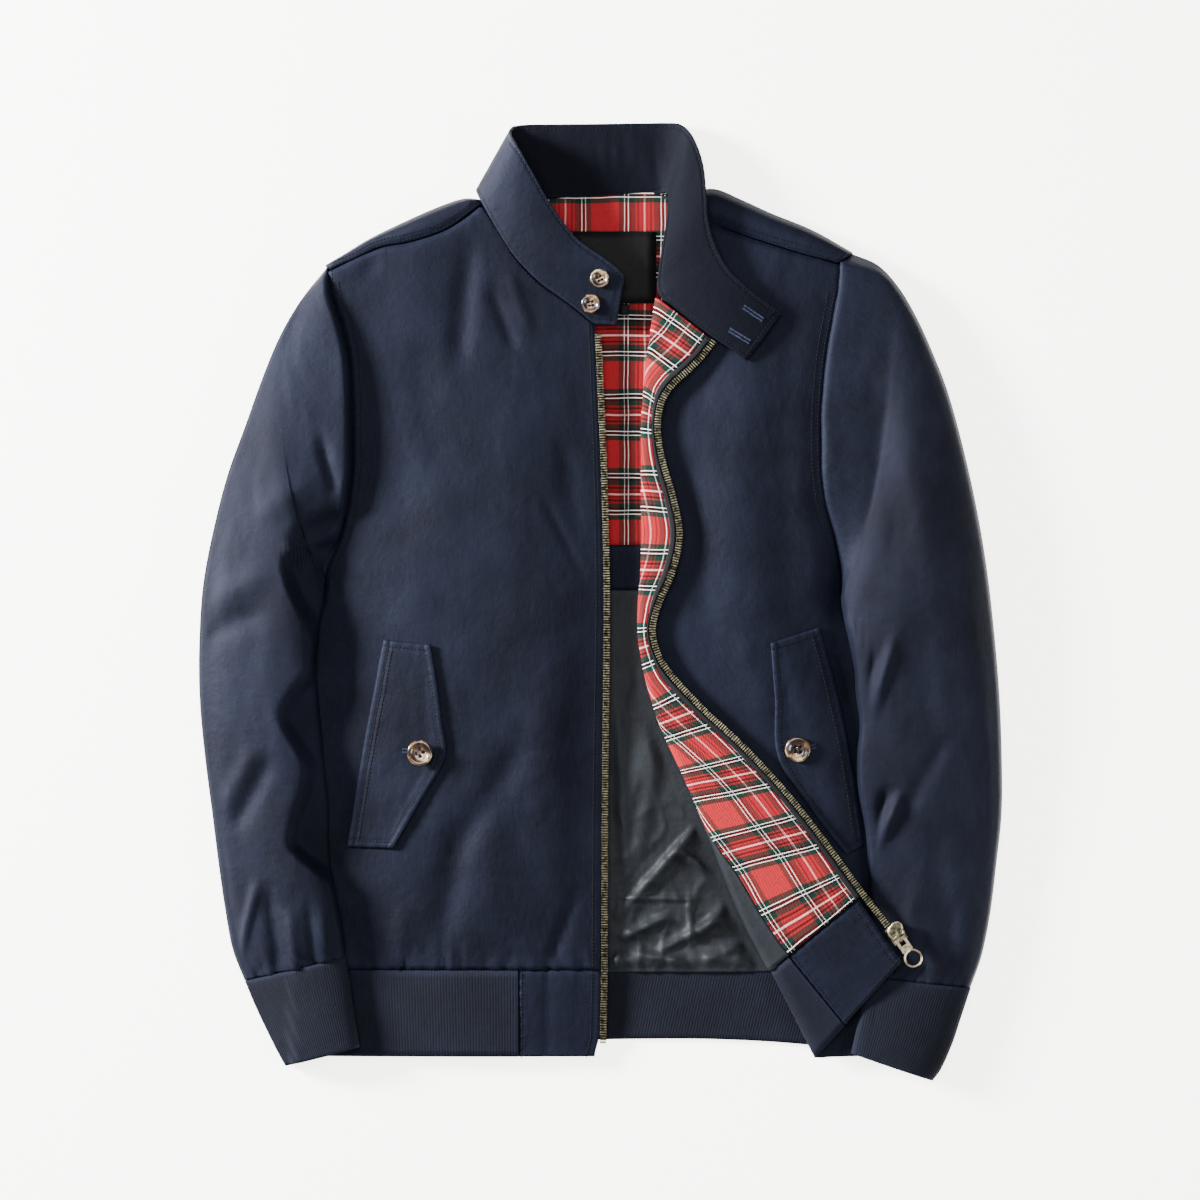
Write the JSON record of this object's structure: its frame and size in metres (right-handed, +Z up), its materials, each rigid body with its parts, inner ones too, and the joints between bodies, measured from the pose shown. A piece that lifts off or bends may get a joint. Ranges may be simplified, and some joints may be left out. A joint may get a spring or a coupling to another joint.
{
  "type": "harrington jacket",
  "caption": "Harrington jacket laid flat, front open and one side rolled back: stand collar, slanted pocket flaps, plaid lining, knitted cuffs and hem band.",
  "frame": {"origin": "centre of the jacket's footprint, on the surface it lies on", "axes": "+X towards the wearer's left, +Y towards the collar, +Z up from the surface"},
  "size_m": [0.6268, 0.7489, 0.0371],
  "materials": {
    "navy_cloth": "smooth twill with a slight sheen",
    "navy_knit": "fine ribbed knit",
    "plaid_flannel": "brushed tartan, red with dark green and white lines",
    "grey_satin": "satin lining",
    "label_cloth": "woven, bare",
    "horn": "mottled brown imitation horn",
    "aged_brass": "antiqued, brushed",
    "zip_tape": "woven tape"
  },
  "bodies": {
    "jacket": {"back_panel": "navy_cloth", "front_right": "navy_cloth", "front_left": "navy_cloth", "sleeve_right": "navy_cloth", "sleeve_left": "navy_cloth", "cuff_right": "navy_knit", "cuff_left": "navy_knit", "hem_rib": "navy_knit", "hem_tab_right": "navy_cloth", "hem_tab_left": "navy_cloth", "collar": "navy_cloth", "pocket_flap_right": "navy_cloth", "pocket_flap_left": "navy_cloth", "lining_plaid": "plaid_flannel", "lining_band": "navy_cloth", "lining_satin": "grey_satin", "facing_left": "plaid_flannel", "lining_front_left": "grey_satin", "label_main": "label_cloth", "label_size": "label_cloth", "collar_button_1": "horn", "collar_button_2": "horn", "pocket_button_right": "horn", "pocket_button_left": "horn", "zip_tape_right": "zip_tape", "zip_tape_left": "zip_tape", "zip_chain_right": "aged_brass", "zip_chain_left": "aged_brass", "zip_slider": "aged_brass"},
    "zip_pull": {"zip_pull": "aged_brass"}
  },
  "joints": [
    {"name": "zip_pull_hinge", "type": "hinge", "parent": "jacket", "child": "zip_pull", "pos_m": [0.23259, -0.26214, 0.03265], "axis": [-0.8215, -0.5703, 0], "range_deg": [0, 165]}
  ]
}
